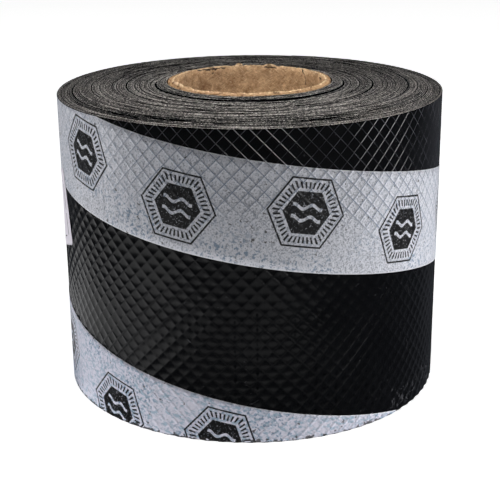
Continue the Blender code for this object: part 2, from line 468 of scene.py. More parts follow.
def kraft_board(settings):
    """Spiral-wound kraft core board: matt brown, mottled by its fibres, cracked below its torn lip, with
    painted shadows under the lip.
    """
    material, tree = new_material("Spiral-wound kraft board")
    place = put(tree, "ShaderNodeTexCoord")
    azimuth, height = round_place(tree)
    mottle = put(tree, "ShaderNodeTexNoise", {
        "Vector": place.outputs["Object"], "Scale": grain_scale(4.35), "Detail": 8.0, "Roughness": 0.7})
    fibres = put(tree, "ShaderNodeTexNoise", {
        "Vector": place.outputs["Object"], "Scale": grain_scale(3.85), "Detail": 4.0, "Distortion": 3.0})
    stain = put(tree, "ShaderNodeTexNoise", {
        "Vector": place.outputs["Object"], "Scale": grain_scale(11.77), "Detail": 5.0, "Roughness": 0.6})
    ramp = put(tree, "ShaderNodeValToRGB", {"Fac": mottle})
    set_tones(ramp, ((0.3, linear("#8a6541")), (0.72, settings.board_colour)))
    strength = put(tree, "ShaderNodeMapRange", {
        "Value": fibres, "From Min": 0.6, "From Max": 0.72, "To Max": 0.55})
    fibred = put(tree, "ShaderNodeMix", {
        "Factor": strength, "A": ramp, "B": linear("#ecd0a8")}, data_type="RGBA")
    arc = put(tree, "ShaderNodeMath", {0: azimuth, 1: BORE_RADIUS_MM}, operation="MULTIPLY")
    up = put(tree, "ShaderNodeMath", {0: height, 1: 1 / MM}, operation="MULTIPLY")
    wall = put(tree, "ShaderNodeCombineXYZ", {"X": arc, "Y": up})
    for lean, tone in ((38, "#efd5ae"), (-33, "#6a4a2c"), (-50, "#e8cba2"), (25, "#72502f")):
        laid = put(tree, "ShaderNodeMapping", {
            "Vector": wall, "Rotation": (0, 0, math.radians(lean)), "Scale": (3.2, 0.5, 1.0),
            "Location": (lean, 0.0, 0.0)}, vector_type="TEXTURE")
        strands = put(tree, "ShaderNodeTexNoise", {"Vector": laid, "Scale": 1.0, "Detail": 2.0})
        seen = put(tree, "ShaderNodeMapRange", {
            "Value": strands, "From Min": 0.58, "From Max": 0.7, "To Max": 0.75})
        fibred = put(tree, "ShaderNodeMix", {
            "Factor": seen, "A": fibred, "B": linear(tone)}, data_type="RGBA")
    darkness = put(tree, "ShaderNodeMapRange", {
        "Value": stain, "From Min": 0.54, "From Max": 0.68, "To Max": 0.55})
    stained = put(tree, "ShaderNodeMix", {
        "Factor": darkness, "A": fibred, "B": linear("#5f4327")}, data_type="RGBA")
    # Dark strokes: one crack, and painted shadows under the torn lip, its ply and its flakes
    wander = put(tree, "ShaderNodeTexNoise", {"Vector": wall, "Scale": 0.9, "Detail": 4.0})
    shift = put(tree, "ShaderNodeVectorMath", {
        0: wander.outputs["Color"], 1: (0.5, 0.5, 0.5)}, operation="SUBTRACT")
    ragged = put(tree, "ShaderNodeVectorMath", {
        0: shift, 1: (2.4, 2.4, 0.0), 2: wall}, operation="MULTIPLY_ADD")
    lines = [((math.radians(start) * BORE_RADIUS_MM, low), (math.radians(end) * BORE_RADIUS_MM, high), half)
             for start, low, end, high, half in CRACKS_AND_PAINTED_SHADOWS]
    cracks_and_shadows = marks(tree, ragged, lines)
    cracked_and_shaded = put(tree, "ShaderNodeMix", {
        "Factor": cracks_and_shadows, "A": stained, "B": linear("#1a100a")}, data_type="RGBA")
    bump = put(tree, "ShaderNodeBump", {"Height": mottle, "Strength": 0.6, "Distance": 0.0003})
    shader = put(tree, "ShaderNodeBsdfPrincipled", {
        "Base Color": cracked_and_shaded, "Roughness": 0.88, "IOR": 1.5, "Normal": bump})
    finish_material(tree, shader)
    return material


def torn_board():
    """The sawn and torn lip of the core: pale loose fibres inside, and the darker outer ply."""
    material, tree = new_material("Torn kraft fibres")
    place = put(tree, "ShaderNodeTexCoord")
    ply = put(tree, "ShaderNodeAttribute", attribute_name="Ply")
    fibres = put(tree, "ShaderNodeTexNoise", {
        "Vector": place.outputs["Object"], "Scale": grain_scale(1.613), "Detail": 6.0, "Roughness": 0.75})
    spots = put(tree, "ShaderNodeTexNoise", {
        "Vector": place.outputs["Object"], "Scale": grain_scale(3.03), "Detail": 3.0})
    ramp = put(tree, "ShaderNodeValToRGB", {"Fac": fibres})
    set_tones(ramp, ((0.32, linear("#a27a52")), (0.58, linear("#f6dcb4"))))
    outer = put(tree, "ShaderNodeMapRange", {
        "Value": ply.outputs["Fac"], "From Min": 0.15, "From Max": 0.45, "To Max": 0.75},
        interpolation_type="SMOOTHSTEP")
    plies = put(tree, "ShaderNodeMix", {
        "Factor": outer, "A": ramp, "B": linear("#9a7048")}, data_type="RGBA")
    dark = put(tree, "ShaderNodeMapRange", {
        "Value": spots, "From Min": 0.56, "From Max": 0.64, "To Max": 0.75})
    spotted = put(tree, "ShaderNodeMix", {
        "Factor": dark, "A": plies, "B": linear("#5c3b20")}, data_type="RGBA")
    bump = put(tree, "ShaderNodeBump", {"Height": fibres, "Strength": 0.8, "Distance": 0.0004})
    shader = put(tree, "ShaderNodeBsdfPrincipled", {
        "Base Color": spotted, "Roughness": 0.95, "IOR": 1.5, "Normal": bump})
    finish_material(tree, shader)
    return material


def badge_print(tree, place):
    """A mask of the tape's print: hexagonal badges in two staggered rows, by place along and down it."""
    in_mm = put(tree, "ShaderNodeVectorMath", {0: place, "Scale": 1 / MM}, operation="SCALE")
    axes = put(tree, "ShaderNodeSeparateXYZ", {"Vector": in_mm})
    count = put(tree, "ShaderNodeMath", {0: axes.outputs["X"], 1: BADGE_PITCH}, operation="DIVIDE")
    number = put(tree, "ShaderNodeMath", {0: count}, operation="FLOOR")
    part = put(tree, "ShaderNodeMath", {0: count}, operation="FRACT")
    centred = put(tree, "ShaderNodeMath", {0: part, 1: 0.5}, operation="SUBTRACT")
    x = put(tree, "ShaderNodeMath", {0: centred, 1: BADGE_PITCH}, operation="MULTIPLY")
    odd = put(tree, "ShaderNodeMath", {0: number, 1: 2.0}, operation="FLOORED_MODULO")
    row = put(tree, "ShaderNodeMapRange", {
        "Value": odd, "To Min": TAPE_WIDTH / MM / 2 - BADGE_STAGGER,
        "To Max": TAPE_WIDTH / MM / 2 + BADGE_STAGGER})
    y = put(tree, "ShaderNodeMath", {0: axes.outputs["Y"], 1: row}, operation="SUBTRACT")
    wide = put(tree, "ShaderNodeMath", {0: x}, operation="ABSOLUTE")
    high = put(tree, "ShaderNodeMath", {0: y}, operation="ABSOLUTE")
    half_high = put(tree, "ShaderNodeMath", {0: high, 1: 0.5}, operation="MULTIPLY")
    slant = put(tree, "ShaderNodeMath", {
        0: wide, 1: math.cos(math.pi / 6), 2: half_high}, operation="MULTIPLY_ADD")
    size = put(tree, "ShaderNodeMath", {0: slant, 1: high}, operation="MAXIMUM")
    outline = put(tree, "ShaderNodeMath", {0: size, 1: BADGE_REACH, 2: BADGE_LINE}, operation="COMPARE")
    angle = put(tree, "ShaderNodeMath", {0: y, 1: x}, operation="ARCTAN2")
    dash = put(tree, "ShaderNodeMath", {0: angle, 1: DASHES_ROUND / (2 * math.pi)}, operation="MULTIPLY")
    in_dash = put(tree, "ShaderNodeMath", {0: dash}, operation="FRACT")
    inked = put(tree, "ShaderNodeMath", {0: in_dash, 1: DASH_SHARE}, operation="LESS_THAN")
    ring = put(tree, "ShaderNodeMath", {0: size, 1: DASH_MIDDLE, 2: DASH_HALF_LENGTH}, operation="COMPARE")
    dashes = put(tree, "ShaderNodeMath", {0: inked, 1: ring}, operation="MULTIPLY")
    core = put(tree, "ShaderNodeMath", {0: size, 1: BADGE_CORE}, operation="LESS_THAN")
    turned = put(tree, "ShaderNodeMath", {0: x, 1: WAVE_TURN}, operation="MULTIPLY")
    swing = put(tree, "ShaderNodeMath", {0: turned}, operation="SINE")
    waved = put(tree, "ShaderNodeMath", {0: swing, 1: WAVE_SWING, 2: y}, operation="MULTIPLY_ADD")
    bands = put(tree, "ShaderNodeMath", {0: waved, 1: 1 / WAVE_APART}, operation="MULTIPLY")
    in_band = put(tree, "ShaderNodeMath", {0: bands}, operation="FRACT")
    band = put(tree, "ShaderNodeMath", {0: in_band, 1: 0.5, 2: WAVE_LINE}, operation="COMPARE")
    beside = put(tree, "ShaderNodeMath", {0: x, 1: 0.0, 2: WINDOW_HALF_WIDTH}, operation="COMPARE")
    within = put(tree, "ShaderNodeMath", {0: waved, 1: 0.0, 2: WINDOW_HALF_HEIGHT}, operation="COMPARE")
    window = put(tree, "ShaderNodeMath", {0: beside, 1: within}, operation="MULTIPLY")
    spared = put(tree, "ShaderNodeMath", {0: band, 1: window}, operation="MULTIPLY")
    solid = put(tree, "ShaderNodeMath", {0: core, 1: spared}, operation="SUBTRACT")
    both = put(tree, "ShaderNodeMath", {0: outline, 1: dashes}, operation="MAXIMUM")
    return put(tree, "ShaderNodeMath", {0: both, 1: solid}, operation="MAXIMUM")


def printed_film(settings):
    """White printed polyethylene tape, stretched over the embossing: ridges show through where it clings."""
    material, tree = new_material("Printed white LDPE tape")
    place = put(tree, "ShaderNodeTexCoord")
    azimuth, height = round_place(tree)
    printed = put(tree, "ShaderNodeUVMap", uv_map="Print")
    lattice = put(tree, "ShaderNodeUVMap", uv_map="Ridges")
    grain = put(tree, "ShaderNodeTexNoise", {
        "Vector": place.outputs["Object"], "Scale": grain_scale(0.769), "Detail": 3.0})
    cloud = put(tree, "ShaderNodeTexNoise", {
        "Vector": place.outputs["Object"], "Scale": grain_scale(25), "Detail": 4.0})
    faint_cloud = put(tree, "ShaderNodeMath", {0: cloud, 1: 0.4}, operation="MULTIPLY")
    both = put(tree, "ShaderNodeMath", {0: grain, 1: 1.6, 2: faint_cloud}, operation="MULTIPLY_ADD")
    base = put(tree, "ShaderNodeValToRGB", {"Fac": both})
    set_tones(base, ((0.76, linear("#9b9fa8")), (1.0, settings.film_colour)))

    # The pass near the floor is painted whiter, a painted brightening for the light off the floor, and lies
    # in the pits in blotches
    low = put(tree, "ShaderNodeMapRange", {
        "Value": height, "From Min": 64 * MM, "From Max": 56 * MM}, interpolation_type="SMOOTHSTEP")
    painted_bounce_white = put(tree, "ShaderNodeMix", {
        "Factor": low, "A": base, "B": linear("#cbcad8")}, data_type="RGBA")
    stretched = put(tree, "ShaderNodeVectorMath", {
        0: printed, 1: (grain_scale(3.03), grain_scale(1.786), 1.0)}, operation="MULTIPLY")
    blotches = put(tree, "ShaderNodeTexNoise", {
        "Vector": stretched, "Scale": 1.0, "Detail": 3.0, "Distortion": 0.8})
    blotched = put(tree, "ShaderNodeMapRange", {
        "Value": blotches, "From Min": 0.49, "From Max": 0.62, "To Max": 0.8})
    low_blotch = put(tree, "ShaderNodeMath", {0: blotched, 1: low}, operation="MULTIPLY")

    # Ridges show as thin lines where the film is taut, in the upper part of the pass at the front
    split = put(tree, "ShaderNodeSeparateXYZ", {"Vector": lattice})
    down = put(tree, "ShaderNodeSeparateXYZ", {"Vector": printed})
    line = None
    swell = None
    for axis in ("X", "Y"):
        part = put(tree, "ShaderNodeMath", {0: split.outputs[axis]}, operation="FRACT")
        off = put(tree, "ShaderNodeMath", {0: part, 1: 0.5}, operation="SUBTRACT")
        far = put(tree, "ShaderNodeMath", {0: off}, operation="ABSOLUTE")
        near = put(tree, "ShaderNodeMapRange", {
            "Value": far, "From Min": 0.075, "From Max": 0.02}, interpolation_type="SMOOTHSTEP")
        beside = put(tree, "ShaderNodeMapRange", {
            "Value": far, "From Min": 0.24, "From Max": 0.0}, interpolation_type="SMOOTHSTEP")
        if line is None:
            line = near
            swell = beside
        else:
            line = put(tree, "ShaderNodeMath", {0: line, 1: near}, operation="MAXIMUM")
            swell = put(tree, "ShaderNodeMath", {0: swell, 1: beside}, operation="MAXIMUM")
    taut = put(tree, "ShaderNodeMapRange", {
        "Value": azimuth, "From Min": math.radians(-45), "From Max": math.radians(-22), "To Min": 0.55,
        "To Max": 1.0}, interpolation_type="SMOOTHSTEP")
    reach = put(tree, "ShaderNodeMath", {
        0: cloud, 1: -0.03, 2: down.outputs["Y"]}, operation="MULTIPLY_ADD")
    clings = put(tree, "ShaderNodeMapRange", {
        "Value": reach, "From Min": 20 * MM, "From Max": 6 * MM, "To Min": 0.1, "To Max": 1.0},
        interpolation_type="SMOOTHSTEP")
    high = put(tree, "ShaderNodeMath", {0: 1.0, 1: low}, operation="SUBTRACT")
    shown = put(tree, "ShaderNodeMath", {0: taut, 1: clings}, operation="MULTIPLY")
    upper = put(tree, "ShaderNodeMath", {0: shown, 1: high}, operation="MULTIPLY")
    ridge = put(tree, "ShaderNodeMath", {0: line, 1: upper}, operation="MULTIPLY")
    broken = put(tree, "ShaderNodeMapRange", {
        "Value": grain, "From Min": 0.4, "From Max": 0.6, "To Min": 0.35, "To Max": 0.95})
    ridge_tone = put(tree, "ShaderNodeMath", {0: ridge, 1: broken}, operation="MULTIPLY")

    # Specks where the film bridges a pit
    specks = put(tree, "ShaderNodeTexNoise", {
        "Vector": place.outputs["Object"], "Scale": grain_scale(1.389), "Detail": 2.0})
    loose = put(tree, "ShaderNodeMapRange", {
        "Value": upper, "From Min": 0.7, "From Max": 0.0, "To Min": 0.25, "To Max": 0.9})
    specked = put(tree, "ShaderNodeMapRange", {"Value": specks, "From Min": 0.51, "From Max": 0.62})
    patchy = put(tree, "ShaderNodeMapRange", {"Value": cloud, "From Min": 0.34, "From Max": 0.58})
    thick = put(tree, "ShaderNodeMath", {0: specked, 1: loose}, operation="MULTIPLY")
    speck = put(tree, "ShaderNodeMath", {0: thick, 1: patchy}, operation="MULTIPLY")

    colour = painted_bounce_white
    for mask, tone in ((ridge_tone, "#566a84"), (speck, "#66809a"), (low_blotch, "#8aa3b6")):
        colour = put(tree, "ShaderNodeMix", {
            "Factor": mask, "A": colour, "B": linear(tone)}, data_type="RGBA")
    # Painted highlight: a lighter line along both edges of the tape, for the bright edge of the film
    rim_depth = put(tree, "ShaderNodeMath", {0: down.outputs["Y"], 1: TAPE_WIDTH / 2}, operation="SUBTRACT")
    from_middle = put(tree, "ShaderNodeMath", {0: rim_depth}, operation="ABSOLUTE")
    rim = put(tree, "ShaderNodeMapRange", {
        "Value": from_middle, "From Min": TAPE_WIDTH / 2 - 0.7 * MM, "From Max": TAPE_WIDTH / 2 - 0.2 * MM,
        "To Max": 0.7})
    colour = put(tree, "ShaderNodeMix", {
        "Factor": rim, "A": colour, "B": linear("#ececf2")}, data_type="RGBA")
    worn = put(tree, "ShaderNodeMapRange", {
        "Value": grain, "From Min": 0.72, "From Max": 0.6, "To Min": 0.35, "To Max": 1.0})
    ink = put(tree, "ShaderNodeMath", {0: badge_print(tree, printed), 1: worn}, operation="MULTIPLY")
    inked = put(tree, "ShaderNodeMix", {
        "Factor": ink, "A": colour, "B": settings.ink_colour}, data_type="RGBA")

    # Dirt along the lower edge, where the roll is stood down
    smear = put(tree, "ShaderNodeTexNoise", {
        "Vector": place.outputs["Object"], "Scale": grain_scale(2.38), "Detail": 3.0})
    from_floor = put(tree, "ShaderNodeMapRange", {
        "Value": height, "From Min": 2.6 * MM, "From Max": 0.2 * MM, "To Max": 0.24})
    dirty = put(tree, "ShaderNodeMath", {0: smear, 1: from_floor}, operation="ADD")
    dirt = put(tree, "ShaderNodeMapRange", {
        "Value": dirty, "From Min": 0.66, "From Max": 0.72, "To Max": 0.85})
    soiled = put(tree, "ShaderNodeMix", {
        "Factor": dirt, "A": inked, "B": linear("#2b2724")}, data_type="RGBA")

    # Upright wrinkles, and the ridges under the film
    wrinkle_scales = (grain_scale(3.846), grain_scale(3.846), grain_scale(35.71))
    pulled = put(tree, "ShaderNodeVectorMath", {
        0: place.outputs["Object"], 1: wrinkle_scales}, operation="MULTIPLY")
    wrinkles = put(tree, "ShaderNodeTexNoise", {"Vector": pulled, "Scale": 1.0, "Detail": 2.0})
    swelled = put(tree, "ShaderNodeMath", {0: swell, 1: shown}, operation="MULTIPLY")
    lifted = put(tree, "ShaderNodeMath", {0: swelled, 1: 0.5, 2: wrinkles}, operation="MULTIPLY_ADD")
    bump = put(tree, "ShaderNodeBump", {"Height": lifted, "Strength": 1.0, "Distance": 0.0005})
    shader = put(tree, "ShaderNodeBsdfPrincipled", {
        "Base Color": soiled, "Roughness": 0.45, "IOR": 1.5, "Normal": bump})
    finish_material(tree, shader)
    return material


def label_paper(settings):
    """Coated white label paper with plain black rules and bars."""
    material, tree = new_material("Coated label paper")
    place = put(tree, "ShaderNodeTexCoord")
    spot = put(tree, "ShaderNodeUVMap", uv_map="Label")
    in_mm = put(tree, "ShaderNodeVectorMath", {0: spot, "Scale": 1 / MM}, operation="SCALE")
    fibre = put(tree, "ShaderNodeTexNoise", {
        "Vector": place.outputs["Object"], "Scale": grain_scale(2), "Detail": 3.0})
    colour = put(tree, "ShaderNodeMix", {
        "Factor": fibre, "A": linear("#e2dce8"), "B": settings.paper_colour}, data_type="RGBA")
    rules = marks(tree, in_mm, LABEL_RULES)
    inked = put(tree, "ShaderNodeMix", {
        "Factor": rules, "A": colour, "B": linear("#17161a")}, data_type="RGBA")
    shader = put(tree, "ShaderNodeBsdfPrincipled", {"Base Color": inked, "Roughness": 0.5, "IOR": 1.5})
    finish_material(tree, shader)
    return material


# The winding


def winding_tree():
    """A strip wound as a spiral, in which each turn slides a little up or down."""
    tree, given = shape_tree("Wind strip", [
        ("Turns", "Float"), ("Points per turn", "Int"), ("Start radius", "Float"),
        ("Step per turn", "Float"), ("Sheet thickness", "Float"), ("Strip width", "Float"),
        ("Start turn", "Float"), ("Ruffle", "Float"), ("Ruffle length", "Float"),
        ("Uneven ends", "Float"), ("Telescope", "Float"), ("Flat turns", "Float"),
        ("Ramp turns", "Float"), ("Inner turns", "Float"), ("Inner push", "Float"),
        ("Inner push end", "Float"), ("Uneven length", "Float"), ("Loose turns", "Float"),
        ("Saw roughness", "Float"), ("Sheet", "Material"), ("Cut edge", "Material")])
    size = given.outputs
    swept = put(tree, "ShaderNodeMath", {0: size["Turns"], 1: size["Step per turn"]}, operation="MULTIPLY")
    end_radius = put(tree, "ShaderNodeMath", {0: swept, 1: size["Start radius"]}, operation="ADD")
    spiral = put(tree, "GeometryNodeCurveSpiral", {
        "Resolution": size["Points per turn"], "Rotations": size["Turns"],
        "Start Radius": size["Start radius"], "End Radius": end_radius, "Height": 0.0, "Reverse": True})
    along = put(tree, "GeometryNodeSplineParameter")
    turn = put(tree, "ShaderNodeMath", {
        0: along.outputs["Index"], 1: size["Points per turn"]}, operation="DIVIDE")
    upright = put(tree, "GeometryNodeSetCurveNormal", {"Curve": spiral}, mode="Z_UP")
    capture = put(tree, "GeometryNodeCaptureAttribute", {"Geometry": upright})
    capture.capture_items.new("FLOAT", "Turn")
    tree.links.new(turn.outputs[0], capture.inputs["Turn"])
    profile = put(tree, "GeometryNodeCurvePrimitiveQuadrilateral", {
        "Width": size["Sheet thickness"], "Height": size["Strip width"]})
    strip = put(tree, "GeometryNodeCurveToMesh", {
        "Curve": capture, "Profile Curve": profile, "Fill Caps": True})
    count = capture.outputs["Turn"]

    # Slack rings push everything outside them out, over a tenth of a turn
    push = None
    for radius, gap in SLACK_RINGS:
        where = put(tree, "ShaderNodeMath", {0: radius, 1: size["Start radius"]}, operation="SUBTRACT")
        first = put(tree, "ShaderNodeMath", {0: where, 1: size["Step per turn"]}, operation="DIVIDE")
        whole = put(tree, "ShaderNodeMath", {0: first}, operation="ROUND")
        after = put(tree, "ShaderNodeMath", {0: whole, 1: 0.1}, operation="ADD")
        step = put(tree, "ShaderNodeMapRange", {
            "Value": count, "From Min": whole, "From Max": after, "To Max": gap},
            interpolation_type="SMOOTHSTEP")
        if push is None:
            push = step
        else:
            push = put(tree, "ShaderNodeMath", {0: push, 1: step}, operation="ADD")

    # The embossing ruffles the sheet's edge: a wave along each turn, out of step with its neighbours
    position = put(tree, "GeometryNodeInputPosition")
    flat = put(tree, "ShaderNodeVectorMath", {0: position, 1: (1.0, 1.0, 0.0)}, operation="MULTIPLY")
    outward = put(tree, "ShaderNodeVectorMath", {0: flat}, operation="NORMALIZE")
    radius_here = put(tree, "ShaderNodeVectorMath", {0: flat}, operation="LENGTH")
    whole_angle = put(tree, "ShaderNodeMath", {0: count, 1: 2 * math.pi}, operation="MULTIPLY")
    arc = put(tree, "ShaderNodeMath", {0: whole_angle, 1: radius_here}, operation="MULTIPLY")
    waves = put(tree, "ShaderNodeMath", {0: arc, 1: size["Ruffle length"]}, operation="DIVIDE")
    phase = put(tree, "ShaderNodeMath", {0: waves, 1: 2 * math.pi}, operation="MULTIPLY")
    wave = put(tree, "ShaderNodeMath", {0: phase}, operation="SINE")
    ruffle = put(tree, "ShaderNodeMath", {0: wave, 1: size["Ruffle"]}, operation="MULTIPLY")
    slackness = put(tree, "ShaderNodeTexNoise", {
        "W": count, "Scale": 1.35, "Detail": 1.0}, noise_dimensions="1D")
    loose = put(tree, "ShaderNodeMapRange", {
        "Value": slackness, "From Min": 0.2, "From Max": 0.8, "To Max": size["Loose turns"]})
    gapped = put(tree, "ShaderNodeMath", {0: push, 1: loose}, operation="ADD")
    out = put(tree, "ShaderNodeMath", {0: ruffle, 1: gapped}, operation="ADD")
    sideways = put(tree, "ShaderNodeVectorMath", {0: outward, "Scale": out}, operation="SCALE")

    # Telescoping: nothing at the outer turns, all of it from the ramp inwards, and more at the core
    from_outside = put(tree, "ShaderNodeMath", {0: size["Turns"], 1: count}, operation="SUBTRACT")
    past_flat = put(tree, "ShaderNodeMath", {0: size["Flat turns"], 1: size["Ramp turns"]}, operation="ADD")
    rise = put(tree, "ShaderNodeMapRange", {
        "Value": from_outside, "From Min": size["Flat turns"], "From Max": past_flat,
        "To Max": size["Telescope"]}, interpolation_type="SMOOTHSTEP")
    drift = put(tree, "ShaderNodeTexNoise", {
        "W": count, "Scale": 1.3, "Detail": 3.0, "Roughness": 0.75}, noise_dimensions="1D")
    drift_up = put(tree, "ShaderNodeMapRange", {
        "Value": drift, "From Min": 0.25, "From Max": 0.75, "To Min": -1.0, "To Max": 1.0})
    lengths = put(tree, "ShaderNodeMath", {0: arc, 1: size["Uneven length"]}, operation="DIVIDE")
    strip_place = put(tree, "ShaderNodeCombineXYZ", {"X": lengths, "Y": count})
    bulge = put(tree, "ShaderNodeTexNoise", {"Vector": strip_place, "Scale": 1.0, "Detail": 3.0})
    bulge_up = put(tree, "ShaderNodeMapRange", {
        "Value": bulge, "From Min": 0.3, "From Max": 0.7, "To Min": -1.0, "To Max": 1.0})
    unevenness = put(tree, "ShaderNodeMath", {0: drift_up, 1: bulge_up}, operation="ADD")
    uneven = put(tree, "ShaderNodeMath", {0: unevenness, 1: size["Uneven ends"]}, operation="MULTIPLY")
    inner_rise = put(tree, "ShaderNodeMapRange", {
        "Value": count, "From Max": size["Inner turns"], "To Min": size["Inner push"],
        "To Max": size["Inner push end"]})
    is_inner = put(tree, "ShaderNodeMath", {0: count, 1: size["Inner turns"]}, operation="LESS_THAN")
    inner_push = put(tree, "ShaderNodeMath", {0: inner_rise, 1: is_inner}, operation="MULTIPLY")
    saw = put(tree, "ShaderNodeTexNoise", {"Vector": position, "Scale": 650.0, "Detail": 3.0})
    saw_mark = put(tree, "ShaderNodeMath", {0: saw, 1: 0.5}, operation="SUBTRACT")
    roughness = put(tree, "ShaderNodeMath", {0: saw_mark, 1: size["Saw roughness"]}, operation="MULTIPLY")
    pushed = put(tree, "ShaderNodeMath", {0: rise, 1: inner_push}, operation="ADD")
    slid = put(tree, "ShaderNodeMath", {0: pushed, 1: uneven}, operation="ADD")
    raised = put(tree, "ShaderNodeMath", {0: slid, 1: roughness}, operation="ADD")
    half = put(tree, "ShaderNodeMath", {0: size["Strip width"], 1: 0.5}, operation="MULTIPLY")
    lifted = put(tree, "ShaderNodeMath", {0: raised, 1: half}, operation="ADD")
    upwards = put(tree, "ShaderNodeCombineXYZ", {"Z": lifted})
    move = put(tree, "ShaderNodeVectorMath", {0: sideways, 1: upwards}, operation="ADD")
    moved = put(tree, "GeometryNodeSetPosition", {"Geometry": strip, "Offset": move})
    numbered = moved
    for label, value in (("Turn", count), ("Arc", arc)):
        numbered = put(tree, "GeometryNodeStoreNamedAttribute", {
            "Geometry": numbered, "Name": label, "Value": value}, data_type="FLOAT")

    start_angle = put(tree, "ShaderNodeMath", {0: size["Start turn"], 1: 2 * math.pi}, operation="MULTIPLY")
    turned = put(tree, "ShaderNodeCombineXYZ", {"Z": start_angle})
    placed = put(tree, "GeometryNodeTransform", {"Geometry": numbered, "Rotation": turned})
    normal = put(tree, "GeometryNodeInputNormal")
    facing = put(tree, "ShaderNodeSeparateXYZ", {"Vector": normal})
    steepness = put(tree, "ShaderNodeMath", {0: facing.outputs["Z"]}, operation="ABSOLUTE")
    is_edge = put(tree, "FunctionNodeCompare", {"A": steepness, "B": 0.5}, operation="GREATER_THAN")
    realized = put(tree, "GeometryNodeRealizeInstances", {"Geometry": placed})
    sheet = put(tree, "GeometryNodeSetMaterial", {"Geometry": realized, "Material": size["Sheet"]})
    edges = put(tree, "GeometryNodeSetMaterial", {
        "Geometry": sheet, "Selection": is_edge, "Material": size["Cut edge"]})
    put(tree, "NodeGroupOutput", {"Geometry": edges})
    return tree


def wind_strip(settings):
    """All the turns but the outer one, as one wound ribbon."""
    thickness = settings.sheet_thickness
    inner = INNER_RADIUS + thickness / 2
    outer = TAIL_RADIUS - TURN_STEP - settings.emboss_depth - thickness / 2
    slack = sum(gap for radius, gap in SLACK_RINGS)
    turns = settings.turns
    step = (outer - inner - slack) / turns
    end_turn = (TAIL_AZIMUTH - math.pi / 2) / (2 * math.pi)
    inner_turns = round((SLACK_RINGS[0][0] - inner) / step)
    mesh = run_tree("wound_strip", winding_tree(), {
        "Turns": float(turns), "Points per turn": settings.points_per_turn, "Start radius": inner,
        "Step per turn": step, "Sheet thickness": thickness, "Strip width": STRIP_WIDTH,
        "Start turn": end_turn, "Ruffle": settings.ruffle, "Ruffle length": 7.0 * MM,
        "Uneven ends": settings.uneven_ends, "Telescope": TELESCOPE, "Flat turns": 4.0, "Ramp turns": 12.0,
        "Inner turns": inner_turns + 0.05, "Inner push": INNER_PUSH, "Inner push end": INNER_PUSH_END,
        "Uneven length": 30 * MM, "Loose turns": settings.loose_turns,
        "Saw roughness": settings.saw_roughness,
        "Sheet": polyethylene_film(settings), "Cut edge": sawn_sheet_edge()})
    return add_piece("wound_strip", mesh, "dpc_roll")


def emboss_tree():
    """A flat net of diamond cells on two interleaved grids, each with rings for its ridge and its pit."""
    tree, given = shape_tree("Emboss net", [
        ("Columns", "Int"), ("Rows", "Int"), ("Cell width", "Float"), ("Cell height", "Float"),
        ("Sheet", "Material")])
    size = given.outputs
    cell = put(tree, "GeometryNodeMeshCircle", {"Vertices": 4, "Radius": 0.5}, fill_type="NGON")
    top = None
    before = 1.0
    for share in CELL_RINGS:
        inset = put(tree, "GeometryNodeExtrudeMesh", {"Mesh": cell, "Offset Scale": 0.0}, mode="FACES")
        if top is not None:
            tree.links.new(top, inset.inputs["Selection"])
        top = inset.outputs["Top"]
        shrunk = put(tree, "GeometryNodeScaleElements", {
            "Geometry": inset, "Selection": top, "Scale": share / before})
        cell = shrunk
        before = share
    grids = []
    for extra in (1, 0):
        counts = []
        spans = []
        for label, cell_size in (("Columns", "Cell width"), ("Rows", "Cell height")):
            counts.append(put(tree, "ShaderNodeMath", {0: size[label], 1: float(extra)}, operation="ADD"))
            less = put(tree, "ShaderNodeMath", {0: counts[-1], 1: 1.0}, operation="SUBTRACT")
            spans.append(put(tree, "ShaderNodeMath", {0: less, 1: size[cell_size]}, operation="MULTIPLY"))
        grid = put(tree, "GeometryNodeMeshGrid", {
            "Size X": spans[0], "Size Y": spans[1], "Vertices X": counts[0], "Vertices Y": counts[1]})
        grids.append(grid)
    lattice = put(tree, "GeometryNodeJoinGeometry", {"Geometry": grids})
    cell_size = put(tree, "ShaderNodeCombineXYZ", {
        "X": size["Cell width"], "Y": size["Cell height"], "Z": 1.0})
    cells = put(tree, "GeometryNodeInstanceOnPoints", {
        "Points": lattice, "Instance": cell, "Scale": cell_size})
    realized = put(tree, "GeometryNodeRealizeInstances", {"Geometry": cells})
    welded = put(tree, "GeometryNodeMergeByDistance", {"Geometry": realized, "Distance": 0.00002})
    done = put(tree, "GeometryNodeSetMaterial", {"Geometry": welded, "Material": size["Sheet"]})
    put(tree, "NodeGroupOutput", {"Geometry": done})
    return tree


def emboss_rows(settings):
    """Rows of whole cells that cover the strip's width."""
    return math.ceil(STRIP_WIDTH / settings.diamond_height) + 1


def lattice_lines(winding, turn_share, height):
    """Counts along both families of ridge lines. A ridge lies at every whole number and a half."""
    columns = turn_share * winding.diamonds_round
    rows = (height - STRIP_WIDTH / 2) / winding.diamond_height + emboss_rows(winding) / 2
    return columns + rows, columns - rows


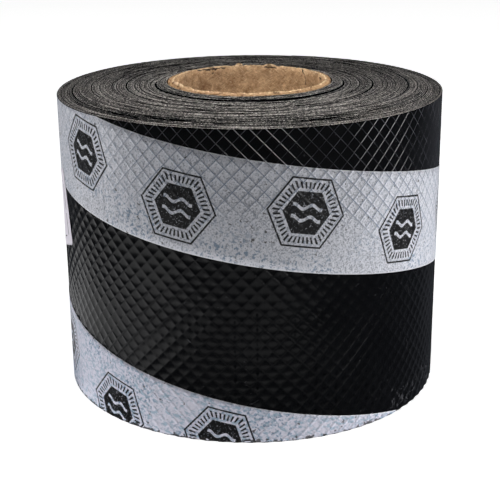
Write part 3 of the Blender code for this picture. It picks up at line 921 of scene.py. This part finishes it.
def close_sheet(mesh, length, thickness):
    """Trims the flat net to one turn by the strip's width, and gives it its edges and a plain back."""
    half_sizes = (length / 2, STRIP_WIDTH / 2)
    near = 0.01 * MM
    shape = bmesh.new()
    shape.from_mesh(mesh)
    for direction, half in zip(((1, 0, 0), (0, 1, 0)), half_sizes):
        for sign in (-1, 1):
            normal = Vector(direction) * sign
            bmesh.ops.bisect_plane(shape, geom=shape.verts[:] + shape.edges[:] + shape.faces[:],
                                   plane_co=normal * half, plane_no=normal, clear_outer=True, dist=near / 10)
    bmesh.ops.remove_doubles(shape, verts=shape.verts, dist=near)
    rim = [edge for edge in shape.edges if edge.is_boundary]
    made = bmesh.ops.extrude_edge_only(shape, edges=rim)
    low = [item for item in made["geom"] if isinstance(item, bmesh.types.BMVert)]
    for vert in low:
        vert.co.z = -thickness
    upper = sorted((v for v in low if abs(v.co.y - half_sizes[1]) < near), key=lambda v: v.co.x)
    lower = sorted((v for v in low if abs(v.co.y + half_sizes[1]) < near), key=lambda v: v.co.x)
    first = sorted((v for v in low if abs(v.co.x + half_sizes[0]) < near), key=lambda v: v.co.y)
    last = sorted((v for v in low if abs(v.co.x - half_sizes[0]) < near), key=lambda v: v.co.y)
    if len(upper) != len(lower):
        raise ValueError("the sheet's two edges don't match")
    shape.faces.new(first + [upper[1], lower[1]])
    shape.faces.new([lower[-2], upper[-2]] + last[::-1])
    for column in range(1, len(upper) - 2):
        shape.faces.new([upper[column], upper[column + 1], lower[column + 1], lower[column]])
    bmesh.ops.recalc_face_normals(shape, faces=shape.faces)

    # The cuts leave the faces in no fixed order, so they are put in the order of their corners
    shape.verts.index_update()
    points = [vert.co[:] for vert in shape.verts]
    corners = [[vert.index for vert in face.verts] for face in shape.faces]
    starts = [face.index(min(face)) for face in corners]
    faces = sorted(face[start:] + face[:start] for face, start in zip(corners, starts))
    shape.free()
    mesh.clear_geometry()
    mesh.from_pydata(points, [], faces)


def wrap_outer_turn(settings):
    """The outer turn: the embossed sheet, cut to one turn and bent round the roll, tail edge at the back."""
    columns = settings.diamonds_round
    length = 2 * math.pi * (TAIL_RADIUS - TURN_STEP / 2)
    mesh = run_tree("outer_turn", emboss_tree(), {
        "Columns": columns, "Rows": emboss_rows(settings), "Cell width": length / columns,
        "Cell height": settings.diamond_height, "Sheet": bpy.data.materials[SHEET_MATERIAL]})
    close_sheet(mesh, length, settings.embossed_thickness)
    points = read_points(mesh)
    share = np.clip(points[:, 0] / length + 0.5, 0, 1)
    height = points[:, 1] + STRIP_WIDTH / 2
    rising, falling = lattice_lines(settings, share, height)
    across = 2 * np.maximum(np.abs(rising - np.round(rising)), np.abs(falling - np.round(falling)))

    # Sharp narrow ridges above the tape, and ridges that the tape's pull has pressed soft below it
    turn = share + (TAIL_AZIMUTH - 2 * math.pi) / (2 * math.pi)
    middle = tape_top(turn) - upright_tape_width() / 2
    sharpness = smooth_step(height - middle, -SOFT_BLEND, SOFT_BLEND)
    sharp = 1 - np.clip((across - SHARP_FOOT) / (SHARP_TOP - SHARP_FOOT), 0, 1)
    soft = np.clip(1 - (across / SHARP_TOP) ** 2, 0, 1)
    azimuth = TAIL_AZIMUTH + 2 * math.pi * share
    places = zip(np.sin(azimuth) * SLACK_ROUND, np.cos(azimuth) * SLACK_ROUND, height * SLACK_UP)
    slack = np.array([noise.noise(Vector(place)) for place in places])
    on_front = points[:, 2] > -settings.embossed_thickness / 2
    depth = settings.emboss_depth * sharpness * sharp + settings.soft_depth * (1 - sharpness) * soft
    pressed = depth * (1 + SLACK_DEEPENS * slack)
    sunk = np.where(on_front, pressed, 0) + settings.sheet_slack * (0.5 + 0.5 * slack)
    radius = TAIL_RADIUS - TURN_STEP * (1 - share) + points[:, 2] - sunk
    bent = round_roll(azimuth, radius, height)
    mesh.vertices.foreach_set("co", bent.astype(np.float32).ravel())
    write_attribute(mesh, "Crest", (1 - sharp) * on_front * sharpness)
    mesh.update()
    mesh.shade_smooth()
    mesh.set_sharp_from_angle(angle=math.radians(23))

    # Its cut edges, top and bottom, go on the winding's pattern
    mesh.materials.clear()
    mesh.materials.append(bpy.data.materials[SHEET_MATERIAL])
    mesh.materials.append(bpy.data.materials[EDGE_MATERIAL])
    for polygon in mesh.polygons:
        polygon.material_index = int(abs(polygon.normal.z) > 0.8)
    turn_number = settings.turns + share
    write_attribute(mesh, "Turn", turn_number)
    write_attribute(mesh, "Arc", turn_number * length)
    return add_piece("outer_turn", mesh, None)


# The core


def tear_fibre(shape, start, end, radius, rise, lean):
    """Adds one torn flake to the core's lip: a thin curled ribbon between two azimuths in degrees."""
    columns = max(6, int(abs(end - start) * 1.2))
    rings = []
    for column in range(columns + 1):
        share = column / columns
        azimuth = math.radians(start + (end - start) * share)
        wander = noise.noise(Vector((azimuth * 9, radius * 300, rise * 900)))
        curl = rise * math.sin(math.pi * share) ** 0.6 * (1 + 0.4 * wander)
        foot = LIP_CREST - FLAKE_DEPTH
        top = LIP_CREST + curl
        middle = radius + lean * curl
        corners = ((radius - FLAKE_FOOT, foot), (radius + FLAKE_FOOT, foot),
                   (middle + FLAKE_TIP, top), (middle - FLAKE_TIP, top))
        places = [round_roll(np.array(azimuth), reach, height) for reach, height in corners]
        rings.append([shape.verts.new(place.tolist()) for place in places])
    faces = [shape.faces.new(rings[0]), shape.faces.new(rings[-1][::-1])]
    for one, other in zip(rings, rings[1:]):
        for corner in range(4):
            following = (corner + 1) % 4
            faces.append(shape.faces.new([one[corner], other[corner], other[following], one[following]]))
    for face in faces:
        face.material_index = 1
        face.smooth = True


def cut_core(settings):
    """The core tube with the lip that the saw tore: two plies, a ragged groove and loose flakes."""
    around = settings.core_points
    outer = CORE_RADIUS - 0.1 * MM
    inner = CORE_RADIUS - settings.core_wall
    azimuth = np.linspace(0, 2 * math.pi, around, endpoint=False)
    shares = np.linspace(0, 1, settings.lip_rings)
    left = smooth_step(np.cos(azimuth - math.radians(-72)), 0.75, 1)
    rows = []
    for share in shares:
        places = [Vector((math.sin(a) * 24, math.cos(a) * 24, share * 2.4)) for a in azimuth]
        torn = np.array([noise.fractal(place, 0.6, 2.2, 5) for place in places])
        coarse = np.array([noise.noise(Vector((math.sin(a) * 6, math.cos(a) * 6, 3.3))) for a in azimuth])
        fall = (LIP_CREST - LIP_EDGE) * share
        groove = math.exp(-((share - 0.5) / 0.16) ** 2) * (0.3 + 0.4 * coarse + 0.7 * left) * MM
        rounded = 0.25 * MM * (2 * abs(share - 0.45)) ** 4
        height = LIP_CREST - fall - np.maximum(groove, 0) - rounded + settings.lip_ragged * torn
        rows.append(round_roll(azimuth, inner + (outer - inner) * share + 0.15 * MM * torn, height))
    top = LIP_EDGE - 2.5 * MM
    outside = [round_roll(azimuth, outer + 0 * azimuth, z) for z in np.linspace(top, CORE_LOW.z, 6)]
    inside = [round_roll(azimuth, inner + 0 * azimuth, z) for z in np.linspace(CORE_LOW.z, top, 40)]
    rings = np.array(rows + outside + inside)
    count = len(rings)
    mesh = bpy.data.meshes.new("core_tube")
    index = np.arange(count * around).reshape(count, around)
    following = np.roll(index, -1, axis=1)
    below = np.roll(index, -1, axis=0)
    below_following = np.roll(following, -1, axis=0)
    faces = np.stack([index, below, below_following, following], axis=-1).reshape(-1, 4)
    mesh.from_pydata(rings.reshape(-1, 3).tolist(), [], faces.tolist())
    mesh.materials.append(kraft_board(settings))
    mesh.materials.append(torn_board())
    slots = np.zeros(len(mesh.polygons), np.int32)
    slots[:len(shares) * around] = 1
    mesh.polygons.foreach_set("material_index", slots)
    mesh.shade_smooth()
    shape = bmesh.new()
    shape.from_mesh(mesh)
    for flake in LIP_FLAKES:
        tear_fibre(shape, *flake)
    shape.to_mesh(mesh)
    shape.free()
    points = read_points(mesh)
    radius = np.hypot(points[:, 0], points[:, 1])
    write_attribute(mesh, "Ply", np.clip((radius - inner) / (outer - inner), 0, 1))
    mesh.update()
    return add_piece("core_tube", mesh, "cardboard_core")


# The tape


def tape_top(turn):
    """Height of the tape's upper edge, where a turn is counted from the front."""
    return TAPE_TOP_AT_FRONT - TAPE_DROP_PER_TURN * turn - TAPE_DROP_GROWTH * turn ** 2


def tape_turn(height):
    """The turn at which the tape's upper edge comes down to this height."""
    fall = TAPE_TOP_AT_FRONT - height
    return 2 * fall / (TAPE_DROP_PER_TURN + math.sqrt(TAPE_DROP_PER_TURN ** 2 + 4 * TAPE_DROP_GROWTH * fall))


def tape_slope(turn):
    """The angle at which the tape runs down."""
    return np.arctan((TAPE_DROP_PER_TURN + 2 * TAPE_DROP_GROWTH * turn) / (2 * math.pi * ROLL_RADIUS))


def upright_tape_width():
    """The tape's width measured straight down, where it slopes as on the roll's right."""
    return TAPE_WIDTH / math.cos(tape_slope(0.2))


def wrap_tape(settings, winding):
    """The printed tape: a film wound down the roll, trimmed with its ends."""
    highest = STRIP_WIDTH - TAPE_TRIM
    first = tape_turn(highest + upright_tape_width())
    last = tape_turn(TAPE_TRIM)
    turns = np.linspace(first, last, settings.tape_columns)
    across = np.linspace(1, 0, settings.tape_rows)
    tops = tape_top(turns)
    high = np.clip(tops, TAPE_TRIM, highest)
    low = np.clip(tops - upright_tape_width(), TAPE_TRIM, highest)
    heights = low[None, :] + (high - low)[None, :] * (1 - across[:, None])
    azimuth = 2 * math.pi * turns[None, :] + 0 * heights
    mesh = mesh_from_grid("wrapped_tape", round_roll(azimuth, film_radius(azimuth), heights))
    below_top = tops[None, :] - heights
    slope = tape_slope(turns)[None, :]
    along = 2 * math.pi * ROLL_RADIUS * turns[None, :] / np.cos(slope) + below_top * np.sin(slope)
    write_uv(mesh, "Print", np.stack([along.ravel(), (below_top * np.cos(slope)).ravel()], axis=-1))
    rising, falling = lattice_lines(winding, (azimuth - TAIL_AZIMUTH) / (2 * math.pi), heights)
    write_uv(mesh, "Ridges", np.stack([rising.ravel(), falling.ravel()], axis=-1))
    mesh.materials.append(printed_film(settings))
    mesh.shade_smooth()
    mesh = thicken(mesh, settings.film_thickness)
    shape = bmesh.new()
    shape.from_mesh(mesh)
    bmesh.ops.remove_doubles(shape, verts=shape.verts, dist=MERGE_DISTANCE)
    shape.to_mesh(mesh)
    shape.free()
    return add_piece("wrapped_tape", mesh, "printed_tape")


# The label


def label_surface(azimuth, height):
    """Radius that the label lies on: the ridges, or the tape over them, with a soft step between."""
    turn = azimuth / (2 * math.pi)
    inside = np.minimum(tape_top(turn) - height, height - tape_top(turn) + upright_tape_width())
    return outer_radius(azimuth) + FILM_LIFT + LABEL_STEP * smooth_step(inside, -1 * MM, 1 * MM)


def stick_label(settings):
    """The label, bent round the roll and leaning back."""
    straight = LABEL_WIDTH / 2 - LABEL_CORNER
    across = np.sin(np.linspace(-math.pi / 2, math.pi / 2, settings.label_columns)) * LABEL_WIDTH / 2
    past = np.clip(np.abs(across) - straight, 0, LABEL_CORNER)
    half_height = LABEL_HEIGHT / 2 - LABEL_CORNER + np.sqrt(LABEL_CORNER ** 2 - past ** 2)
    up = np.linspace(-1, 1, settings.label_rows)[:, None] * half_height[None, :]
    side = across[None, :] + 0 * up
    along = side * math.cos(LABEL_LEAN) - up * math.sin(LABEL_LEAN)
    height = LABEL_MIDDLE + side * math.sin(LABEL_LEAN) + up * math.cos(LABEL_LEAN)
    azimuth = LABEL_AZIMUTH + along / ROLL_RADIUS
    mesh = mesh_from_grid("stuck_label", round_roll(azimuth, label_surface(azimuth, height), height))
    write_uv(mesh, "Label", np.stack([side.ravel(), up.ravel()], axis=-1))
    mesh.materials.append(label_paper(settings))
    mesh.shade_smooth()
    mesh = thicken(mesh, settings.label_thickness)
    return add_piece("stuck_label", mesh, "paper_label")


# The stage


def set_camera():
    """The camera where the photograph was taken from, fitted to the roll's outline, rim and bore."""
    camera = bpy.data.cameras.new("photo_camera")
    camera.lens = CAMERA_LENS
    camera.sensor_width = 36
    camera.clip_start = 0.01
    ahead = math.cos(CAMERA_DOWN)
    forward = Vector((math.sin(CAMERA_PAN) * ahead, math.cos(CAMERA_PAN) * ahead, -math.sin(CAMERA_DOWN)))
    level = Vector((math.cos(CAMERA_PAN), -math.sin(CAMERA_PAN), 0))
    above = level.cross(forward)
    right = level * math.cos(CAMERA_ROLL) + above * math.sin(CAMERA_ROLL)
    top = above * math.cos(CAMERA_ROLL) - level * math.sin(CAMERA_ROLL)
    holder = bpy.data.objects.new("photo_camera", camera)
    bpy.context.scene.collection.objects.link(holder)
    turned = Matrix((right, top, -forward)).transposed().to_4x4()
    holder.matrix_world = Matrix.Translation(CAMERA_PLACE) @ turned
    bpy.context.scene.camera = holder


def lay_floor(settings):
    """A white floor that glows a little, as a lit studio floor does, with lights at it for its bounce."""
    material, tree = new_material("White studio floor")
    place = put(tree, "ShaderNodeTexCoord")
    patch = put(tree, "ShaderNodeTexNoise", {
        "Vector": place.outputs["Object"], "Scale": grain_scale(333), "Detail": 2.0})
    colour = put(tree, "ShaderNodeMix", {
        "Factor": patch, "A": linear("#f2f2f2"), "B": settings.floor_colour}, data_type="RGBA")
    shader = put(tree, "ShaderNodeBsdfPrincipled", {
        "Base Color": colour, "Roughness": 0.9, "Specular IOR Level": 0.0,
        "Emission Color": (1.0, 1.0, 1.0, 1.0), "Emission Strength": 0.86})
    finish_material(tree, shader)
    bpy.ops.mesh.primitive_grid_add(x_subdivisions=2, y_subdivisions=2, size=settings.floor_size)
    floor = bpy.context.object
    floor.name = "studio_floor"
    floor.data.materials.append(material)
    floor.visible_diffuse = False
    floor.visible_glossy = False


def light_world():
    """A dim white room, brighter behind the roll for what the sheet mirrors, and darker overhead."""
    world = bpy.data.worlds.new("studio")
    bpy.context.scene.world = world
    world.use_nodes = True
    tree = world.node_tree
    tree.nodes.clear()
    rays = put(tree, "ShaderNodeLightPath")
    place = put(tree, "ShaderNodeTexCoord")
    axes = put(tree, "ShaderNodeSeparateXYZ", {"Vector": place.outputs["Generated"]})
    behind = put(tree, "ShaderNodeMapRange", {
        "Value": axes.outputs["Y"], "From Min": 0.15, "From Max": 0.75, "To Min": MIRRORED_ROOM,
        "To Max": MIRRORED_BACK}, interpolation_type="SMOOTHSTEP")
    overhead = put(tree, "ShaderNodeMapRange", {
        "Value": axes.outputs["Z"], "From Min": 0.5, "From Max": 0.85, "To Min": ROOM_LIGHT,
        "To Max": 0.02}, interpolation_type="SMOOTHSTEP")
    mirrored = put(tree, "ShaderNodeBackground", {"Color": (0.9, 0.96, 1.1, 1), "Strength": behind})
    around = put(tree, "ShaderNodeBackground", {"Color": (1, 1, 1, 1), "Strength": overhead})
    seen = put(tree, "ShaderNodeBackground", {"Color": (1, 1, 1, 1), "Strength": 1.0})
    lit = put(tree, "ShaderNodeMixShader", {0: rays.outputs["Is Glossy Ray"], 1: around, 2: mirrored})
    all_rays = put(tree, "ShaderNodeMixShader", {0: rays.outputs["Is Camera Ray"], 1: lit, 2: seen})
    put(tree, "ShaderNodeOutputWorld", {"Surface": all_rays})


def hang_light(name, shape, place, aim, width, height, watts):
    """An area light. Nothing but what it lights is seen by the camera."""
    lamp = bpy.data.lights.new(name, "AREA")
    lamp.shape = shape
    lamp.size = width
    if shape == "RECTANGLE":
        lamp.size_y = height
    lamp.energy = watts
    holder = bpy.data.objects.new(name, lamp)
    bpy.context.scene.collection.objects.link(holder)
    holder.location = place
    holder.rotation_euler = (Vector(aim) - Vector(place)).to_track_quat("-Z", "Y").to_euler()
    holder.visible_camera = False
    return holder


def box_place(azimuth, elevation, distance):
    """The place of a light round the roll, from angles in degrees."""
    turn = math.radians(azimuth)
    tilt = math.radians(elevation)
    away = Vector((math.sin(turn) * math.cos(tilt), -math.cos(turn) * math.cos(tilt), math.sin(tilt)))
    return ROLL_MIDDLE + away * distance


def set_lights():
    """Soft boxes, glint boxes and two small lamps, and a disc and cards for the light off the floor."""
    light_world()
    for name, azimuth, elevation, distance, width, height, brightness in SOFT_BOXES:
        place = box_place(azimuth, elevation, distance)
        watts = brightness * math.pi ** 2 * distance ** 2
        box = hang_light(name, "RECTANGLE", place, ROLL_MIDDLE, width, height, watts)
        box.visible_glossy = False
    for name, azimuth, elevation, distance, width, height, glow in GLINT_BOXES:
        place = box_place(azimuth, elevation, distance)
        watts = glow * math.pi * width * height
        box = hang_light(name, "RECTANGLE", place, ROLL_MIDDLE, width, height, watts)
        box.visible_diffuse = False
    for name, place, aim, size, beam, watts in LAMPS:
        lamp = hang_light(name, "SQUARE", place, aim, size, 0, watts)
        lamp.data.spread = math.radians(beam)
        lamp.visible_glossy = False
    up = Vector((0, 0, 1))
    watts = BOUNCE_GLOW * math.pi * math.pi * BOUNCE_SIZE ** 2 / 4
    bounce = hang_light("floor_bounce", "DISK", BOUNCE_PLACE, BOUNCE_PLACE + up, BOUNCE_SIZE, 0, watts)
    bounce.visible_glossy = False
    for name, right, back, width, height, glow in CARDS:
        place = FLOOR_LIGHT + Vector((right, back, 0))
        watts = glow * math.pi * width * height
        card = hang_light(name, "RECTANGLE", place, place + up, width, height, watts)
        card.visible_diffuse = False
    bpy.context.scene.view_settings.view_transform = "Standard"


# The add-on's settings, operators and panel


class WindingSettings(bpy.types.PropertyGroup):
    turns: IntProperty(
        name="Turns", description="Turns under the outer one",
        default=68, min=1)
    points_per_turn: IntProperty(
        name="Points per turn", description="Fineness of the winding",
        default=240, min=16)
    sheet_thickness: FloatProperty(
        name="Sheet", description="Thickness of the strip",
        default=0.5 * MM, subtype="DISTANCE", precision=5)
    ruffle: FloatProperty(
        name="Ruffle", description="How far the embossing waves the sheet's edge",
        default=0.1 * MM, subtype="DISTANCE", precision=5)
    uneven_ends: FloatProperty(
        name="Uneven ends", description="How far single turns slide up or down",
        default=0.14 * MM, subtype="DISTANCE", precision=5)
    loose_turns: FloatProperty(
        name="Loose turns", description="How far single turns lie off their neighbours",
        default=0.4 * MM, subtype="DISTANCE", precision=5)
    diamonds_round: IntProperty(
        name="Diamonds round", description="Embossed cells in the outer turn",
        default=87, min=3)
    diamond_height: FloatProperty(
        name="Diamond height", description="Height of an embossed cell",
        default=7.2 * MM, subtype="DISTANCE", precision=5)
    emboss_depth: FloatProperty(
        name="Emboss depth", description="Depth of the pits between the ridges",
        default=0.103 * MM, subtype="DISTANCE", precision=5)
    soft_depth: FloatProperty(
        name="Soft depth", description="Depth of the pits below the tape",
        default=0.48 * MM, subtype="DISTANCE", precision=5)
    embossed_thickness: FloatProperty(
        name="Embossed sheet", description="Thickness from ridge to back",
        default=0.9 * MM, subtype="DISTANCE", precision=5)
    sheet_slack: FloatProperty(
        name="Slack", description="How far the outer turn sinks where it is loose",
        default=0.08 * MM, subtype="DISTANCE", precision=5)
    saw_roughness: FloatProperty(
        name="Saw roughness", description="Roughness of the cut edges",
        default=0.25 * MM, subtype="DISTANCE", precision=5)
    sheet_colour: FloatVectorProperty(
        name="Sheet colour", description="Lighter tone of the black sheet",
        default=linear("#08090c"), subtype="COLOR", size=4, min=0, max=1)


class CoreSettings(bpy.types.PropertyGroup):
    core_wall: FloatProperty(
        name="Wall", description="Thickness of the board tube",
        default=3 * MM, subtype="DISTANCE", precision=5)
    core_points: IntProperty(
        name="Points round", description="Fineness of the tube",
        default=540, min=16)
    lip_rings: IntProperty(
        name="Lip rings", description="Rings across the torn lip",
        default=9, min=3)
    lip_ragged: FloatProperty(
        name="Ragged lip", description="Height of the lip's torn fibres",
        default=0.5 * MM, subtype="DISTANCE", precision=5)
    board_colour: FloatVectorProperty(
        name="Board colour", description="Lighter tone of the core's board",
        default=linear("#e2bd94"), subtype="COLOR", size=4, min=0, max=1)


class TapeSettings(bpy.types.PropertyGroup):
    film_thickness: FloatProperty(
        name="Film", description="Thickness of the tape",
        default=0.06 * MM, subtype="DISTANCE", precision=5)
    tape_columns: IntProperty(
        name="Columns", description="Fineness along the tape",
        default=720, min=16)
    tape_rows: IntProperty(
        name="Rows", description="Fineness across the tape",
        default=14, min=2)
    film_colour: FloatVectorProperty(
        name="Film colour", description="Lighter tone of the tape",
        default=linear("#d9dae2"), subtype="COLOR", size=4, min=0, max=1)
    ink_colour: FloatVectorProperty(
        name="Ink colour", description="Ink of the badges",
        default=linear("#121214"), subtype="COLOR", size=4, min=0, max=1)


class LabelSettings(bpy.types.PropertyGroup):
    label_thickness: FloatProperty(
        name="Paper", description="Thickness of the label",
        default=0.1 * MM, subtype="DISTANCE", precision=5)
    label_columns: IntProperty(
        name="Columns", description="Fineness along the label",
        default=60, min=4)
    label_rows: IntProperty(
        name="Rows", description="Fineness across the label",
        default=30, min=2)
    paper_colour: FloatVectorProperty(
        name="Paper colour", description="Lighter tone of the label",
        default=linear("#efeaf2"), subtype="COLOR", size=4, min=0, max=1)


class StageSettings(bpy.types.PropertyGroup):
    floor_size: FloatProperty(
        name="Floor", description="Side of the pale floor",
        default=12.0, subtype="DISTANCE")
    floor_colour: FloatVectorProperty(
        name="Floor colour", description="Lighter tone of the floor",
        default=linear("#f6f6f6"), subtype="COLOR", size=4, min=0, max=1)


class ROLL_OT_wind_strip(bpy.types.Operator):
    """Winds the strip and wraps its embossed outer turn"""
    bl_idname = "strip_roll.wind_strip"
    bl_label = "Wind Strip"

    def execute(self, context):
        wind_strip(context.scene.strip_winding)
        wrap_outer_turn(context.scene.strip_winding)
        return {"FINISHED"}


class ROLL_OT_cut_core(bpy.types.Operator):
    """Makes the cardboard core with its torn lip"""
    bl_idname = "strip_roll.cut_core"
    bl_label = "Cut Core"

    def execute(self, context):
        cut_core(context.scene.strip_core)
        return {"FINISHED"}


class ROLL_OT_wrap_tape(bpy.types.Operator):
    """Wraps the printed tape round the roll"""
    bl_idname = "strip_roll.wrap_tape"
    bl_label = "Wrap Tape"

    def execute(self, context):
        wrap_tape(context.scene.strip_tape, context.scene.strip_winding)
        return {"FINISHED"}


class ROLL_OT_stick_label(bpy.types.Operator):
    """Sticks the label on the roll's left side"""
    bl_idname = "strip_roll.stick_label"
    bl_label = "Stick Label"

    def execute(self, context):
        stick_label(context.scene.strip_label)
        return {"FINISHED"}


class ROLL_OT_set_stage(bpy.types.Operator):
    """Sets up the camera, the pale floor and the studio light"""
    bl_idname = "strip_roll.set_stage"
    bl_label = "Set Stage"

    def execute(self, context):
        set_camera()
        lay_floor(context.scene.strip_stage)
        set_lights()
        return {"FINISHED"}


class ROLL_PT_panel(bpy.types.Panel):
    """Lists the roll's operators"""
    bl_idname = "ROLL_PT_panel"
    bl_label = "Strip Roll"
    bl_space_type = "VIEW_3D"
    bl_region_type = "UI"
    bl_category = "Strip Roll"

    def draw(self, context):
        for operator in OPERATORS:
            self.layout.operator(operator.bl_idname)
        for group in SETTINGS:
            settings = getattr(context.scene, group)
            for name in settings.__annotations__:
                self.layout.prop(settings, name)


SETTINGS = {
    "strip_winding": WindingSettings, "strip_core": CoreSettings, "strip_tape": TapeSettings,
    "strip_label": LabelSettings, "strip_stage": StageSettings}
OPERATORS = (ROLL_OT_set_stage, ROLL_OT_wind_strip, ROLL_OT_cut_core, ROLL_OT_wrap_tape, ROLL_OT_stick_label)


def register():
    for group, kind in SETTINGS.items():
        bpy.utils.register_class(kind)
        setattr(bpy.types.Scene, group, PointerProperty(type=kind))
    for kind in OPERATORS + (ROLL_PT_panel,):
        bpy.utils.register_class(kind)


def unregister():
    for kind in reversed(OPERATORS + (ROLL_PT_panel,)):
        bpy.utils.unregister_class(kind)
    for group, kind in SETTINGS.items():
        delattr(bpy.types.Scene, group)
        bpy.utils.unregister_class(kind)


def main():
    register()
    bpy.ops.strip_roll.set_stage()
    bpy.ops.strip_roll.wind_strip()
    bpy.ops.strip_roll.cut_core()
    bpy.ops.strip_roll.wrap_tape()
    bpy.ops.strip_roll.stick_label()


if __name__ == "__main__":
    main()
